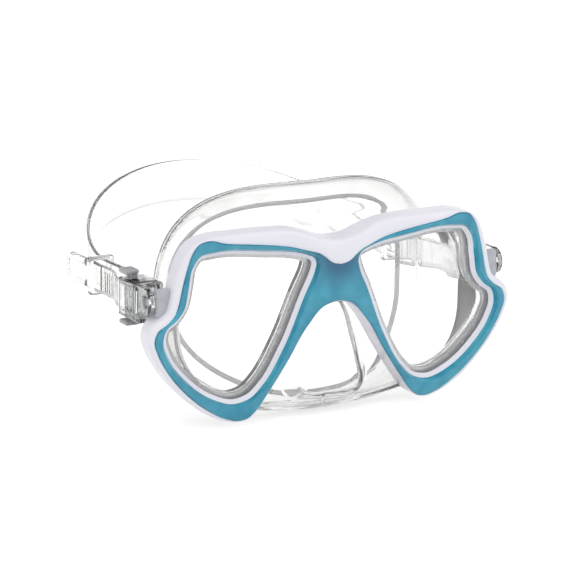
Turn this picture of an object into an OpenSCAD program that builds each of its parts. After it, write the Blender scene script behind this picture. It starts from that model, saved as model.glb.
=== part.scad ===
// Diving mask with two lenses. A white main frame carries everything. A translucent lens
// retainer snaps into its front and clamps two glass lenses and a clear silicone skirt. A
// silicone strap runs through a quick-adjust buckle on each side, and the buckles turn on
// pins in the frame's lugs, so the strap swings up and down as one hoop.
//
// Millimetres. X is the width and the wearer's left is +X, +Y points from the lenses to the
// back of the head, and +Z is up. The modules measure from the mask centre, which is the
// middle of the bridge on the retainer's front face. in_frame() puts the origin under the
// middle of the whole mask, at its lowest point.

/* [Main frame] */
// Width across the cheeks, the widest part of the frame
frame_w = 163; // [156:1:170]
// Height from the bottom of the lens rings to the top of the brow
frame_h = 76.5; // [73:0.5:81]
// Thickness of the ledge behind the skirt's flange
ledge_t = 1.5; // [1.2:0.1:2.5]
// How far that ledge stands in past the bezel
ledge_lap = 0.8; // [0.4:0.1:1.2]
// Angle by which each lens is swept back from the bridge
lens_wrap = 2.4; // [0.4:0.2:4]
// Angle by which the lenses lean forward at the top
lens_tilt = 2.8; // [0.4:0.2:4]
// Thickness of the brow's lip where it comes down over the bridge
brow_lip_t = 1.8; // [1.2:0.1:2.6]
// How far the frame's front rim stands back from the retainer's face
rim_setback = 0.6; // [0.2:0.1:1.2]

/* [Lens retainer] */
// Thickness of the bezel in front of the glass
bezel_t = 3.6; // [3:0.1:4.2]
// How far the bezel's inner wall slopes in from its front edge to the glass
bezel_slope = 1.8; // [1:0.1:2]
// Gap between the retainer and the frame around it
snap_gap = 0.15; // [0.1:0.05:0.25]
// Length of the snap tabs that hold the retainer in the frame
tab_l = 4.4; // [3.5:0.1:5]
// Thickness of the snap tabs
tab_t = 1.2; // [0.9:0.1:1.5]

/* [Lenses] */
// Thickness of the tempered glass
lens_t = 3; // [2.6:0.1:4]
// How far the glass reaches under the bezel, all round
lens_lap = 2; // [1.4:0.1:2.4]

/* [Skirt] */
// Thickness of the flange clamped behind each lens
flange_t = 1.5; // [1.2:0.1:2.2]
// Thickness of the skirt's walls
skirt_t = 1.4; // [1:0.1:1.8]
// Half width of the skirt's rim
rim_half_w = 60.5; // [58:0.5:62]
// Height of the rim at the forehead, above the mask centre
rim_top = 51.5; // [48:0.5:56]
// Depth of the rim under the nose, below the mask centre
rim_bottom = 41; // [39.5:0.5:44]
// How far back the rim lies at the temples
rim_back = 46; // [42:0.5:50]
// Width of the inner sealing lip that folds in from the rim
lip_w = 9; // [6:0.5:11]
// Half width of the nose pocket at the nostrils
nose_half_w = 15; // [13:0.5:17]
// How far the nose pocket stands in front of the retainer's face
nose_front = 2; // [0:0.5:5]

/* [Buckles] */
// Distance of the buckle's pivot behind the mask centre
pivot_y = 11.5; // [10.5:0.5:13]
// Height of the buckle's pivot above the mask centre
pivot_z = 13.3; // [12.8:0.1:14.5]
// Radius of the pivot pin
pin_r = 1.6; // [1.3:0.1:2]
// Radial running clearance of pins and journals
run_gap = 0.05; // [0.02:0.01:0.08]
// Gap of the buckle's outer face inside the frame's widest point
buckle_inset = 2.1; // [1.5:0.1:3]
// Wall thickness of the buckle's body
buckle_t = 1.4; // [1.2:0.1:1.8]
// Radius of the roller that the strap turns round
roller_r = 2.6; // [2.2:0.1:3]
// Travel of each release button
button_travel = 1.3; // [1.2:0.1:2.4]

/* [Strap] */
// Thickness of the strap
strap_t = 1.4; // [1.1:0.1:1.6]
// Width of the strap in the buckles and keepers
strap_w = 12.4; // [11:0.1:13]
// Width of the strap at the back of the head
strap_back_w = 18; // [15:0.5:24]
// Distance from the mask centre to the back of the strap
strap_reach = 146; // [135:1:152]
// Height of the strap's middle at the back of the head
strap_back_z = 29; // [20:1:36]
// Length of loose strap tail behind the keeper's middle
tail_l = 25; // [16:1:30]
// Free gap left round soft parts
soft_gap = 0.3; // [0.2:0.05:0.4]

/* [Hidden] */
$fn = 48;

// Steps drawn between two control points of an outline.
steps = 4;
half_w = frame_w / 2;
// Height of the brow's top edge over the bridge, as drawn.
brow_mid_z = 32.8;

// Depths behind the retainer's face, measured square to the lens.
glass_d = bezel_t;
flange_d = glass_d + lens_t;
ledge_d = flange_d + flange_t;
frame_d = ledge_d + ledge_t;
plate_d = frame_d + soft_gap;
plate_back_d = plate_d + skirt_t;

// Outlines of the wearer's left half, as [x, z]. The opening of one lens:
opening_points = [[63.4, 27.5], [60.3, 31.4], [54, 32.6], [33, 31.4], [12.7, 27.8],
    [10.7, 26.9], [9.2, 25.3], [8.6, 23.1], [9, 20.9], [13.6, 10], [22.5, -11], [31, -24.8],
    [36.5, -29.8], [44, -31.7], [54, -28.6], [66, -19.5], [73.3, -9.8], [75.7, -1.5],
    [74.2, 3.3], [70, 6.6], [67, 10.6], [65.4, 18]];
// Outside of the retainer, from the middle of the nose arch round to the middle of the top:
retainer_points = [[0, 7.2], [6, 5.9], [13.4, -1.5], [22, -15.3], [30.6, -28],
    [35.3, -34.2], [38.6, -36.8], [42.3, -37.5], [48, -36], [56, -31.6], [65.4, -23.8],
    [72.8, -15], [77.6, -6.3], [79, -1.6], [77.7, 2.3], [73.5, 5.2], [70.6, 8.2],
    [69, 12.5], [67.8, 18], [65.5, 27], [63.3, 32.8], [60.6, 36], [56.8, 36.9],
    [50, 35.3], [36, 33.5], [22, 31.3], [12, 28.7], [0, 25.5]];
// Outside of the main frame, over the same span:
frame_points = [[0, 7.4], [5.8, 6.1], [13, -1.8], [21.6, -15.5], [30.3, -28.3],
    [35, -34.6], [38.4, -37.3], [42.3, -38], [49, -37], [57, -33.3], [66.7, -25.3],
    [74.6, -16], [79.9, -7], [81.5, -1], [80.2, 3.8], [76.6, 7], [73.4, 9.6],
    [72, 13.5], [70.3, 21], [68.2, 28], [65.6, 33], [61.8, 36.4], [56.5, 38],
    [44, 38.5], [30, 38.5], [20, 37.8], [12, 35.6], [6, 33.5], [0, brow_mid_z]];
// The part of the brow that comes down in front of the bridge, as a V:
brow_lip_points = [[0, 22.8], [3.4, 23.6], [7.6, 26.8], [12.6, 29.6], [20, 31.4],
    [21, 37.6], [12, 35.6], [6, 33.5], [0, brow_mid_z]];
// Outside of the skirt's front plate, from the middle of the bottom to the middle of the top:
plate_points = [[0, -36.2], [16, -36.4], [32, -35.8], [44, -34.2], [55, -30.6],
    [66.6, -21.2], [73.8, -11], [75.9, -1.8], [74.6, 3.7], [70.2, 7.2], [67.5, 11.2],
    [66.2, 18], [64.6, 26], [61.8, 32], [55, 34.4], [40, 35], [20, 33.8], [0, 31.5]];

// ---- Curves ---------------------------------------------------------------------------
// The outlines follow the frame's size, which kx and kz set against the size as drawn.
function list_of(points, axis) = [for (p = points) p[axis]];
kx = half_w / max(list_of(frame_points, 0));
kz = frame_h / (max(list_of(frame_points, 1)) - min(list_of(frame_points, 1)));
function fit(points) = [for (p = points) [p[0] * kx, p[1] * kz]];
function smooth01(t) = t * t * (3 - 2 * t);
function along(a, b, t) = a + (b - a) * t;

// Velocity of the curve at point b between a and c, weighted by the chord lengths.
function velocity(a, b, c) =
    let (h0 = norm(b - a), h1 = norm(c - b))
    ((b - a) / h0 * h1 + (c - b) / h1 * h0) / (h0 + h1);

// Point at t from 0 to 1 on the curve from b to c, with a before it and d after it.
function curve_point(a, b, c, d, t) =
    let (h = norm(c - b), v0 = velocity(a, b, c) * h, v1 = velocity(b, c, d) * h)
    (2 * t * t * t - 3 * t * t + 1) * b + (t * t * t - 2 * t * t + t) * v0
    + (3 * t * t - 2 * t * t * t) * c + (t * t * t - t * t) * v1;

// Smooth closed outline through the points.
function closed_curve(p) =
    let (n = len(p))
    [for (i = [0 : n - 1]) for (k = [0 : steps - 1])
        curve_point(p[(i + n - 1) % n], p[i], p[(i + 1) % n], p[(i + 2) % n], k / steps)];

// Smooth half outline whose ends lie on the middle line, where it meets its mirror image.
function half_curve(p) =
    let (n = len(p), q = concat([flip(p[1])], p, [flip(p[n - 2])]))
    [for (i = [0 : n - 2]) for (k = [0 : i == n - 2 ? steps : steps - 1])
        curve_point(q[i], q[i + 1], q[i + 2], q[i + 3], k / steps)];

function flip(p) = [-p[0], p[1]];

// Moves a closed outline outwards by d. The outlines run anticlockwise.
function grow(p, d) =
    let (n = len(p))
    [for (i = [0 : n - 1]) let (t = p[(i + 1) % n] - p[(i + n - 1) % n])
        p[i] + d * [t[1], -t[0]] / norm(t)];

// Closes a half outline a little past the middle line, so that both halves fuse.
middle_lap = 0.6;
function closed_half(p) =
    concat([[-middle_lap, p[0][1]]], p, [[-middle_lap, p[len(p) - 1][1]]]);

opening = closed_curve(fit(opening_points));
// Inner edges behind the opening: the bezel at the glass, then the ledge, then the skirt.
throat = grow(opening, -bezel_slope);
ledge_hole = grow(throat, -ledge_lap);
neck = grow(ledge_hole, -soft_gap);
glass = grow(throat, lens_lap);
retainer_half = closed_half(half_curve(fit(retainer_points)));
frame_half = closed_half(half_curve(fit(frame_points)));
brow_lip_half = closed_half(half_curve(fit(brow_lip_points)));
plate_half = half_curve(fit(plate_points));

// ---- Placing --------------------------------------------------------------------------
// The part's own outer limits, which set where the origin lies.
front_y = -brow_lip_t * cos(lens_tilt) - brow_mid_z * kz * sin(lens_tilt);
back_y = strap_reach + strap_t / 2;
module in_frame() translate([0, -(front_y + back_y) / 2, rim_bottom]) children();

// Wearer's left is side 1, and right is side -1.
module on_side(side) mirror([side < 0 ? 1 : 0, 0, 0]) children();

module both_sides() {
    children();
    mirror([1, 0, 0]) children();
}

// Turns the left half from the X-Z plane into the plane of the left lens.
module in_lens_plane() rotate([lens_tilt, 0, 0]) rotate([0, 0, lens_wrap]) children();

// Slab of a 2D child in the lens plane, between two depths behind the retainer's face.
module slab(from_d, to_d)
    in_lens_plane() translate([0, to_d, 0]) rotate([90, 0, 0])
        linear_extrude(to_d - from_d) children();

// The same turn for a single point, given as x, depth and z.
function lens_plane_point(x, d, z) =
    let (x1 = x * cos(lens_wrap) - d * sin(lens_wrap),
         y1 = x * sin(lens_wrap) + d * cos(lens_wrap))
    [x1, y1 * cos(lens_tilt) - z * sin(lens_tilt), y1 * sin(lens_tilt) + z * cos(lens_tilt)];

// Side profile given as [y, z], extruded between two distances from the middle.
module side_plate(from_x, to_x)
    translate([from_x, 0, 0]) rotate([90, 0, 90]) linear_extrude(to_x - from_x) children();

module box(from, to) translate(from) cube(to - from);

// Cylinder along X between two distances from the middle, at [y, z].
module x_cylinder(r, from_x, to_x, yz)
    translate([from_x, yz[0], yz[1]]) rotate([0, 90, 0]) cylinder(r = r, h = to_x - from_x);

// Closed skin over a list of loops with the same number of points. It runs from the first
// loop to the last, with flat ends, or joins back to the first when ring is true.
module skin(loops, ring = false) {
    m = len(loops[0]);
    n = len(loops);
    spans = ring ? n : n - 1;
    side_faces = [for (i = [0 : spans - 1]) for (j = [0 : m - 1]) for (half = [0, 1])
        let (a = i * m, b = ((i + 1) % n) * m, k = (j + 1) % m)
        half == 0 ? [a + j, b + j, b + k] : [a + j, b + k, a + k]];
    end_faces = ring ? [] : [[for (j = [0 : m - 1]) j],
                             [for (j = [m - 1 : -1 : 0]) (n - 1) * m + j]];
    polyhedron([for (loop = loops) for (p = loop) p], concat(side_faces, end_faces));
}

// ---- Frame, retainer and glass --------------------------------------------------------
tab_w = 7;
tab_hook = 0.5;
tab_hook_l = 1.4;
// How far the tabs, and the cuts for the lenses, reach into the bezel's thickness.
root_l = 1;
// Overlap of pieces that fuse, and slack under a seat that must not rub.
fuse = 0.05;
// How far a cut runs past the face that it opens.
over = 0.2;
// Places of the snap tabs in the lens plane, as [x, z].
bottom_tab = [43 * kx, -35.2 * kz];
bridge_tab = [6 * kx, 17 * kz];

module tab(at, slack) {
    w = tab_w / 2 + slack;
    t = tab_t / 2 + slack;
    in_lens_plane() {
        box([at[0] - w, bezel_t - root_l, at[1] - t],
            [at[0] + w, bezel_t + tab_l + slack, at[1] + t]);
        box([at[0] - w, bezel_t + tab_l - tab_hook_l - slack, at[1] - t],
            [at[0] + w, bezel_t + tab_l + slack, at[1] + t + tab_hook]);
    }
}

// Loop of a lens outline at a depth, for a sloped wall.
function lens_loop(outline, d) = [for (p = outline) lens_plane_point(p[0], d, p[1])];

module lens_retainer() color("#2a8fb0") in_frame() both_sides() {
    difference() {
        slab(0, bezel_t) polygon(retainer_half);
        skin([lens_loop(grow(throat, -over * bezel_slope / bezel_t), bezel_t + over),
              lens_loop(grow(opening, over * bezel_slope / bezel_t), -over)]);
    }
    tab(bottom_tab, 0);
    tab(bridge_tab, 0);
}

// The lug is a plate on the frame's flank, with a round end about the buckle's pivot.
buckle_out_x = half_w - buckle_inset;
ear_t = 2.1;
lug_out_x = buckle_out_x - ear_t - soft_gap;
lug_t = 6.5;
lug_r = pin_r + 2.6;
lug_front_y = 6.5;
lug_root_up = 6.2;
lug_root_down = 6.8;
pin_seat_l = 3.5;

module lug() difference() {
    side_plate(lug_out_x - lug_t, lug_out_x) {
        polygon([[lug_front_y, pivot_z - lug_root_down],
                 [lug_front_y + 2, pivot_z - lug_root_down],
                 [pivot_y, pivot_z - lug_r], [pivot_y, pivot_z + lug_r],
                 [lug_front_y + 2, pivot_z + lug_root_up],
                 [lug_front_y, pivot_z + lug_root_up]]);
        translate([pivot_y, pivot_z]) circle(lug_r);
    }
    x_cylinder(pin_r, lug_out_x - pin_seat_l, lug_out_x + 1, [pivot_y, pivot_z]);
}

module main_frame() color("#ececf6") in_frame() both_sides() {
    difference() {
        union() {
            slab(rim_setback, bezel_t + snap_gap) difference() {
                polygon(frame_half);
                polygon(grow(retainer_half, snap_gap));
            }
            slab(bezel_t, frame_d) polygon(frame_half);
        }
        slab(bezel_t - root_l, ledge_d + fuse) polygon(grow(glass, snap_gap));
        slab(bezel_t - root_l, frame_d + root_l) polygon(ledge_hole);
        tab(bottom_tab, snap_gap);
        tab(bridge_tab, snap_gap);
    }
    slab(-brow_lip_t, -fuse) polygon(brow_lip_half);
    lip_root();
    lug();
}

// Ties the brow's lip to the rim behind it, along the top edge of the brow.
lip_root_points = [[-middle_lap, 29.6], [8, 31.4], [19, 34], [20, 37], [12, 35.2],
    [6, 33.1], [-middle_lap, 32.4]];
module lip_root() slab(-brow_lip_t / 2, bezel_t + 0.5) polygon(fit(lip_root_points));

module lens(side) color("#dfeaec") in_frame() on_side(side)
    slab(glass_d, flange_d) polygon(glass);

// ---- Skirt ----------------------------------------------------------------------------
// Point of a rounded loop of the skirt behind its plate. size holds the loop's half width,
// top and bottom, and back holds how far back its top, side and bottom lie. powers holds, for
// the upper and the lower half, how square the corners are and how sharply it sweeps back.
function loop_point(angle, size, back, powers) =
    let (c = abs(cos(angle)), s = abs(sin(angle)), up = sin(angle) > 0,
         power = powers[up ? 0 : 1],
         r = pow(pow(c / size[0], power[0]) + pow(s / size[up ? 1 : 2], power[0]),
                 -1 / power[0]))
    [r * cos(angle), along(back[up ? 0 : 2], back[1], pow(c, power[1])), r * sin(angle)];

// Angles of the plate's own points, so that each loop lines up with the plate.
plate_angles = [for (p = plate_half) atan2(p[1], p[0])];

function whole_loop(half) =
    let (n = len(half))
    concat(half, [for (i = [n - 2 : -1 : 1]) [-half[i][0], half[i][1], half[i][2]]]);

function plate_loop(d, inset) = whole_loop([for (p = plate_half)
    let (q = p * (1 - inset / norm(p)), v = lens_plane_point(q[0], d, q[1]))
    [max(0, p[0] == 0 ? 0 : v[0]), v[1], v[2]]]);

function body_loop(size, back, powers, dr, dy) = whole_loop([for (a = plate_angles)
    loop_point(a, size - dr * [1, 1, 1], back + dy * [1, 1, 1], powers)]);

plate_top = plate_points[len(plate_points) - 3][1] * kz;
plate_bottom = -plate_points[1][1] * kz;
// The shoulder stays this far inside the frame's cheeks.
shoulder_inset = 15.2;
shoulder_half_w = half_w - shoulder_inset;
shoulder = [shoulder_half_w, along(plate_top, rim_top, 0.3),
            along(plate_bottom, rim_bottom, 0.2)];
shoulder_back = [plate_back_d + 0.6, plate_back_d + 5.8, plate_back_d + 3];
fold = [along(shoulder_half_w, rim_half_w, 0.6), along(plate_top, rim_top, 0.6),
        along(plate_bottom, rim_bottom, 0.65)];
fold_back = [along(plate_back_d, rim_back, 0.14), along(plate_back_d, rim_back, 0.62),
             along(plate_back_d, rim_back, 0.2)];
rim = [rim_half_w, rim_top, rim_bottom];
rim_backs = [rim_back - 18, rim_back, rim_back - 25];
lip = [rim_half_w - lip_w, rim_top - lip_w, rim_bottom - lip_w * 0.7];

// The wall from the plate to the rim, and the lip that folds in from the rim. The loops run
// along its inside from the plate to the lip, and back along its outside.
rim_powers = [[3.1, 1.8], [2.1, 3.2]];
fold_powers = [[3.2, 4.5], [2.3, 3]];
shoulder_powers = [[3.2, 3], [2.6, 3]];
module skirt_wall() skin(ring = true, loops = [
    plate_loop(plate_d + 0.4, 3),
    plate_loop(plate_back_d + 1, 3),
    body_loop(shoulder, shoulder_back, shoulder_powers, skirt_t, 1.2),
    body_loop(fold, fold_back, fold_powers, skirt_t, 0.3),
    body_loop(rim, rim_backs, rim_powers, skirt_t + 1.6, -2.4),
    body_loop(lip, rim_backs, rim_powers, 0, -1.5),
    body_loop(lip, rim_backs, rim_powers, 0, -0.6),
    body_loop(rim, rim_backs, rim_powers, 1.4, 0),
    body_loop(rim, rim_backs, rim_powers, 0.3, -0.5),
    body_loop(rim, rim_backs, rim_powers, 0, -1.6),
    body_loop(fold, fold_back, fold_powers, 0, 0),
    body_loop(shoulder, shoulder_back, shoulder_powers, 0, 0),
    plate_loop(plate_back_d + 0.1, 0.3),
    plate_loop(plate_d + 0.4, 0.3)]);

// One loop of the nose pocket at depth d: top and bottom heights, half widths at the top
// and at the nostrils. It leans and wraps with the lenses, so that it meets the plate.
function nose_loop(d, top, bottom, w_top, w_low) =
    let (p = [[0, bottom], [w_low * 0.7, bottom + 0.4], [w_low, bottom + 5],
              [along(w_low, w_top, 0.5), along(bottom, top, 0.55)],
              [w_top, top - 4], [w_top * 0.5, top - 0.8], [0, top]])
    whole_loop([for (q = half_curve(p))
        let (v = lens_plane_point(q[0], d, q[1])) [max(0, q[0]), v[1], v[2]]]);

nose_bottom = -34.2 * kz;
nose_mid_d = along(plate_d, -nose_front, 0.55);

module nose_outside() skin([
    nose_loop(plate_d + 0.5, 4 * kz, nose_bottom, 7, nose_half_w + 5),
    nose_loop(along(plate_d, nose_mid_d, 0.5), 3 * kz, nose_bottom, 6, nose_half_w + 1),
    nose_loop(nose_mid_d, -2 * kz, nose_bottom + 0.3, 5, nose_half_w),
    nose_loop(along(nose_mid_d, -nose_front, 0.7), -8 * kz, nose_bottom + 1.6, 4,
              nose_half_w - 2.5),
    nose_loop(-nose_front, -14 * kz, nose_bottom + 4.5, 3, nose_half_w - 6)]);

module nose_inside() skin([
    nose_loop(plate_back_d + 1, 3.6 * kz - skirt_t, nose_bottom + skirt_t, 7 - skirt_t,
              nose_half_w + 6 - skirt_t),
    nose_loop(along(plate_d, nose_mid_d, 0.5), 3 * kz - skirt_t, nose_bottom + skirt_t,
              6 - skirt_t, nose_half_w + 1 - skirt_t),
    nose_loop(nose_mid_d, -2 * kz - skirt_t, nose_bottom + 0.3 + skirt_t, 5 - skirt_t,
              nose_half_w - skirt_t),
    nose_loop(along(nose_mid_d, -nose_front, 0.7) + 0.5, -8 * kz - skirt_t,
              nose_bottom + 1.6 + skirt_t, 4 - skirt_t, nose_half_w - 2.5 - skirt_t),
    nose_loop(-nose_front + skirt_t, -14 * kz - skirt_t, nose_bottom + 4.5 + skirt_t,
              3 - skirt_t, nose_half_w - 6 - skirt_t)]);

module skirt() color("#e4e8e8") in_frame() difference() {
    union() {
        both_sides() {
            slab(flange_d, ledge_d) polygon(grow(glass, -0.1));
            slab(flange_d, plate_d + 0.5) polygon(neck);
            slab(plate_d, plate_back_d) polygon(closed_half(plate_half));
        }
        skirt_wall();
        nose_outside();
    }
    both_sides() slab(flange_d - 1, plate_back_d + 0.3)
        offset(r = -skirt_t) polygon(neck);
    nose_inside();
}

// ---- Buckles --------------------------------------------------------------------------
cover_t = 1.2;
inner_plate_t = 1;
front_wall_l = 3.4;
back_l = 7.9;
roller_reach = 14.5;
buckle_drop = 2.4;
journal_r = 1.2;
strap_out_x = buckle_out_x - cover_t - soft_gap - strap_t / 2;
roller_x = strap_out_x - strap_t / 2 - soft_gap - roller_r;
strap_in_x = roller_x - roller_r - soft_gap - strap_t / 2;
buckle_in_x = strap_in_x - strap_t / 2 - soft_gap - inner_plate_t;
roller_y = pivot_y + roller_reach;
buckle_z = pivot_z - buckle_drop;
cavity_h = strap_w / 2 + soft_gap;
buckle_h = cavity_h + buckle_t;
cavity_y = roller_y - roller_r - soft_gap - strap_t - soft_gap;
buckle_front_y = cavity_y - front_wall_l;
buckle_back_y = roller_y + roller_r + back_l;
ear_r = pin_r + 3.9;
pin_head_r = pin_r + 1.1;
pin_head_t = 0.9;

module pivot_pin(side) color("#e9eef0") in_frame() on_side(side) {
    x_cylinder(pin_r, lug_out_x - pin_seat_l, buckle_out_x + 0.1, [pivot_y, pivot_z]);
    x_cylinder(pin_head_r, buckle_out_x + 0.05, buckle_out_x + 0.05 + pin_head_t,
               [pivot_y, pivot_z]);
}

// Button legs ride in slots between the two runs of the strap.
leg_w = 2.4;
leg_clear = 0.8;
leg_x = strap_out_x - strap_t / 2 - leg_clear - leg_w / 2;
leg_l = 4.4;
leg_y = roller_y + roller_r + 2.4;
foot_extra = 0.4;
foot_t = 1.6;
web_t = 1;
slot_gap = 0.1;

module buckle_body(side) color("#e6eced") in_frame() on_side(side) {
    low_z = buckle_z - buckle_h;
    high_z = buckle_z + buckle_h;
    difference() {
        union() {
            side_plate(buckle_in_x, buckle_out_x) polygon([
                [buckle_front_y, low_z + 3.5], [buckle_front_y + 3.5, low_z],
                [buckle_back_y, low_z], [buckle_back_y, high_z],
                [buckle_front_y + 2, high_z], [buckle_front_y, high_z - 2]]);
            side_plate(buckle_out_x - ear_t, buckle_out_x) {
                translate([pivot_y, pivot_z]) circle(ear_r);
                polygon([[pivot_y, pivot_z - ear_r], [buckle_front_y + 1, pivot_z - ear_r - 1],
                         [buckle_front_y + 1, pivot_z + ear_r], [pivot_y, pivot_z + ear_r]]);
            }
        }
        // Room for the strap and its roller, open at the back.
        box([buckle_in_x + inner_plate_t, cavity_y, buckle_z - cavity_h],
            [buckle_out_x - cover_t, buckle_back_y + 1, buckle_z + cavity_h]);
        x_cylinder(pin_r + run_gap, buckle_out_x - ear_t - 1, buckle_out_x + 1,
                   [pivot_y, pivot_z]);
        translate([roller_x, roller_y, low_z - 1])
            cylinder(r = journal_r + run_gap, h = 2 * buckle_h + 2);
        box([leg_x - leg_w / 2 - slot_gap, leg_y - slot_gap, low_z - 1],
            [leg_x + leg_w / 2 + slot_gap, leg_y + leg_l + slot_gap, high_z + 1]);
    }
    // Pillar behind the buttons, and the web that both springs stand on.
    box([leg_x - leg_w / 2, buckle_back_y - 1, low_z],
        [leg_x + leg_w / 2, buckle_back_y + 0.4, high_z]);
    box([leg_x - leg_w / 2 - foot_extra, leg_y + 0.4, buckle_z - web_t / 2],
        [leg_x + leg_w / 2 + foot_extra, buckle_back_y - 0.5, buckle_z + web_t / 2]);
}

// Buttons: a cap outside the buckle, a leg through its wall, and a foot that stops it.
cap_t = 2;
cap_over = 1.2;
cap_in_x = leg_x - leg_w / 2 - foot_extra;
cap_out_x = buckle_out_x - soft_gap;
cap_corner_r = 1.2;
cap_gap = 0.1;
foot_gap = 0.15;
foot_z = cavity_h - foot_gap - foot_t;

module button(side, up) color("#9a9d9f") in_frame() on_side(side)
    translate([0, 0, buckle_z]) mirror([0, 0, up > 0 ? 0 : 1]) {
        cap_z = buckle_h + button_travel + cap_gap;
        translate([(cap_in_x + cap_out_x) / 2, leg_y + leg_l / 2, cap_z])
            rounded_plate([cap_out_x - cap_in_x, leg_l + 2 * cap_over, cap_t], cap_corner_r);
        box([leg_x - leg_w / 2, leg_y, foot_z],
            [leg_x + leg_w / 2, leg_y + leg_l, cap_z + 0.5]);
        box([leg_x - leg_w / 2 - foot_extra, leg_y, foot_z],
            [leg_x + leg_w / 2 + foot_extra, leg_y + leg_l, foot_z + foot_t]);
    }

// Plate with round corners, standing on the middle of its base.
module rounded_plate(size, r) linear_extrude(size[2]) {
    square([size[0] - 2 * r, size[1]], center = true);
    square([size[0], size[1] - 2 * r], center = true);
    for (x = [-1, 1], y = [-1, 1])
        translate([x * (size[0] / 2 - r), y * (size[1] / 2 - r)]) circle(r);
}

spring_r = 1.2;
spring_wire_r = 0.18;
spring_turns = 4;
spring_z0 = web_t / 2 + spring_wire_r + 0.05;
spring_z1 = foot_z - spring_wire_r - 0.05;

module spring(side, up) color("#b9bcbf") in_frame() on_side(side)
    translate([leg_x, leg_y + leg_l / 2 + 0.3, buckle_z]) mirror([0, 0, up > 0 ? 0 : 1])
        skin([for (i = [0 : 12 * spring_turns]) let (a = 30 * i,
              z = along(spring_z0, spring_z1, i / (12 * spring_turns)))
            [for (b = [0 : 60 : 300])
                [(spring_r + spring_wire_r * cos(b)) * cos(a),
                 (spring_r + spring_wire_r * cos(b)) * sin(a), z - spring_wire_r * sin(b)]]]);

module strap_roller(side) color("#dfe5e7") in_frame() on_side(side)
    translate([roller_x, roller_y, buckle_z]) {
        cylinder(r = roller_r, h = 2 * (cavity_h - 0.2), center = true);
        cylinder(r = journal_r, h = 2 * (buckle_h - 0.2), center = true);
    }

// ---- Strap ----------------------------------------------------------------------------
keeper_reach = 51;
keeper_t = 1.3;
keeper_l = 4;
keeper_play = 0.4;
// Straight strap on either side of the keeper, and between the buckle and the bend.
keeper_straight = 17;
hoop_straight = 4;
bend_straight = 1.5;
// How far the run lies inside the buckle's inner run, and the tail outside the run.
run_inset = 5.4;
tail_spacing = 6;
strap_drop = 1.4;

keeper_y = roller_y + keeper_reach;
bend_start_y = buckle_back_y + bend_straight;
bend_end_y = keeper_y - keeper_straight;
hoop_y = keeper_y + hoop_straight;
run_x = strap_in_x - run_inset;
tail_x = run_x + tail_spacing;
strap_z = buckle_z - strap_drop;
turn_r = roller_r + soft_gap + strap_t / 2;

// Each station of the strap is [x, y, middle height, width], from the middle of the back
// along the hoop, through the keeper and the buckle, round the roller and back to the tail.
hoop = [for (a = [0 : 5 : 90]) let (rise = pow(cos(a), 1.3))
    [run_x * sin(a), hoop_y + (strap_reach - hoop_y) * cos(a),
     along(strap_z, strap_back_z, rise), along(strap_w, strap_back_w, cos(a))]];

function bend(x_from, x_to, y_from, y_to, z_from, z_to) = [for (i = [0 : 8])
    let (t = i / 8, s = smooth01(t))
    [along(x_from, x_to, s), along(y_from, y_to, t), along(z_from, z_to, s), strap_w]];

turn = [for (a = [180 : 20 : 360])
    [roller_x + turn_r * cos(a), roller_y + turn_r * sin(a), buckle_z, strap_w]];
tail_end = [for (a = [0 : 15 : 75])
    [tail_x, keeper_y + tail_l - strap_w / 2 * (1 - sin(a)), strap_z, strap_w * cos(a)]];

half_strap = concat(hoop,
    bend(run_x, strap_in_x, bend_end_y, bend_start_y, strap_z, buckle_z),
    turn,
    bend(strap_out_x, tail_x, bend_start_y, bend_end_y, buckle_z, strap_z),
    tail_end);
strap_stations = concat([for (i = [len(half_strap) - 1 : -1 : 1])
    let (s = half_strap[i]) [-s[0], s[1], s[2], s[3]]], half_strap);

module strap() color("#eef1f1") in_frame() {
    n = len(strap_stations);
    skin([for (i = [0 : n - 1])
        let (s = strap_stations[i], a = strap_stations[max(0, i - 1)],
             b = strap_stations[min(n - 1, i + 1)], d = [b[0] - a[0], b[1] - a[1]],
             out = [d[1], -d[0]] / norm(d) * strap_t / 2)
        [[s[0] + out[0], s[1] + out[1], s[2] - s[3] / 2],
         [s[0] + out[0], s[1] + out[1], s[2] + s[3] / 2],
         [s[0] - out[0], s[1] - out[1], s[2] + s[3] / 2],
         [s[0] - out[0], s[1] - out[1], s[2] - s[3] / 2]]]);
}

module strap_keeper(side) color("#dde3e5") in_frame() on_side(side) {
    in_x = run_x - strap_t / 2 - keeper_play;
    out_x = tail_x + strap_t / 2 + keeper_play;
    h = strap_w / 2 + keeper_play;
    difference() {
        box([in_x - keeper_t, keeper_y - keeper_l / 2, strap_z - h - keeper_t],
            [out_x + keeper_t, keeper_y + keeper_l / 2, strap_z + h + keeper_t]);
        box([in_x, keeper_y - keeper_l, strap_z - h], [out_x, keeper_y + keeper_l, strap_z + h]);
    }
}

skirt();
main_frame();
lens_retainer();
lens(1);  // lens_left
lens(-1);  // lens_right
pivot_pin(1);  // pivot_pin_left
pivot_pin(-1);  // pivot_pin_right
buckle_body(1);  // buckle_body_left
buckle_body(-1);  // buckle_body_right
button(1, 1);  // upper_button_left
button(-1, 1);  // upper_button_right
button(1, -1);  // lower_button_left
button(-1, -1);  // lower_button_right
spring(1, 1);  // upper_spring_left
spring(-1, 1);  // upper_spring_right
spring(1, -1);  // lower_spring_left
spring(-1, -1);  // lower_spring_right
strap_roller(1);  // strap_roller_left
strap_roller(-1);  // strap_roller_right
strap_keeper(1);  // strap_keeper_left
strap_keeper(-1);  // strap_keeper_right
strap();
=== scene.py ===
# A two-lens diving mask: its looks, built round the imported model.
import math

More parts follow.
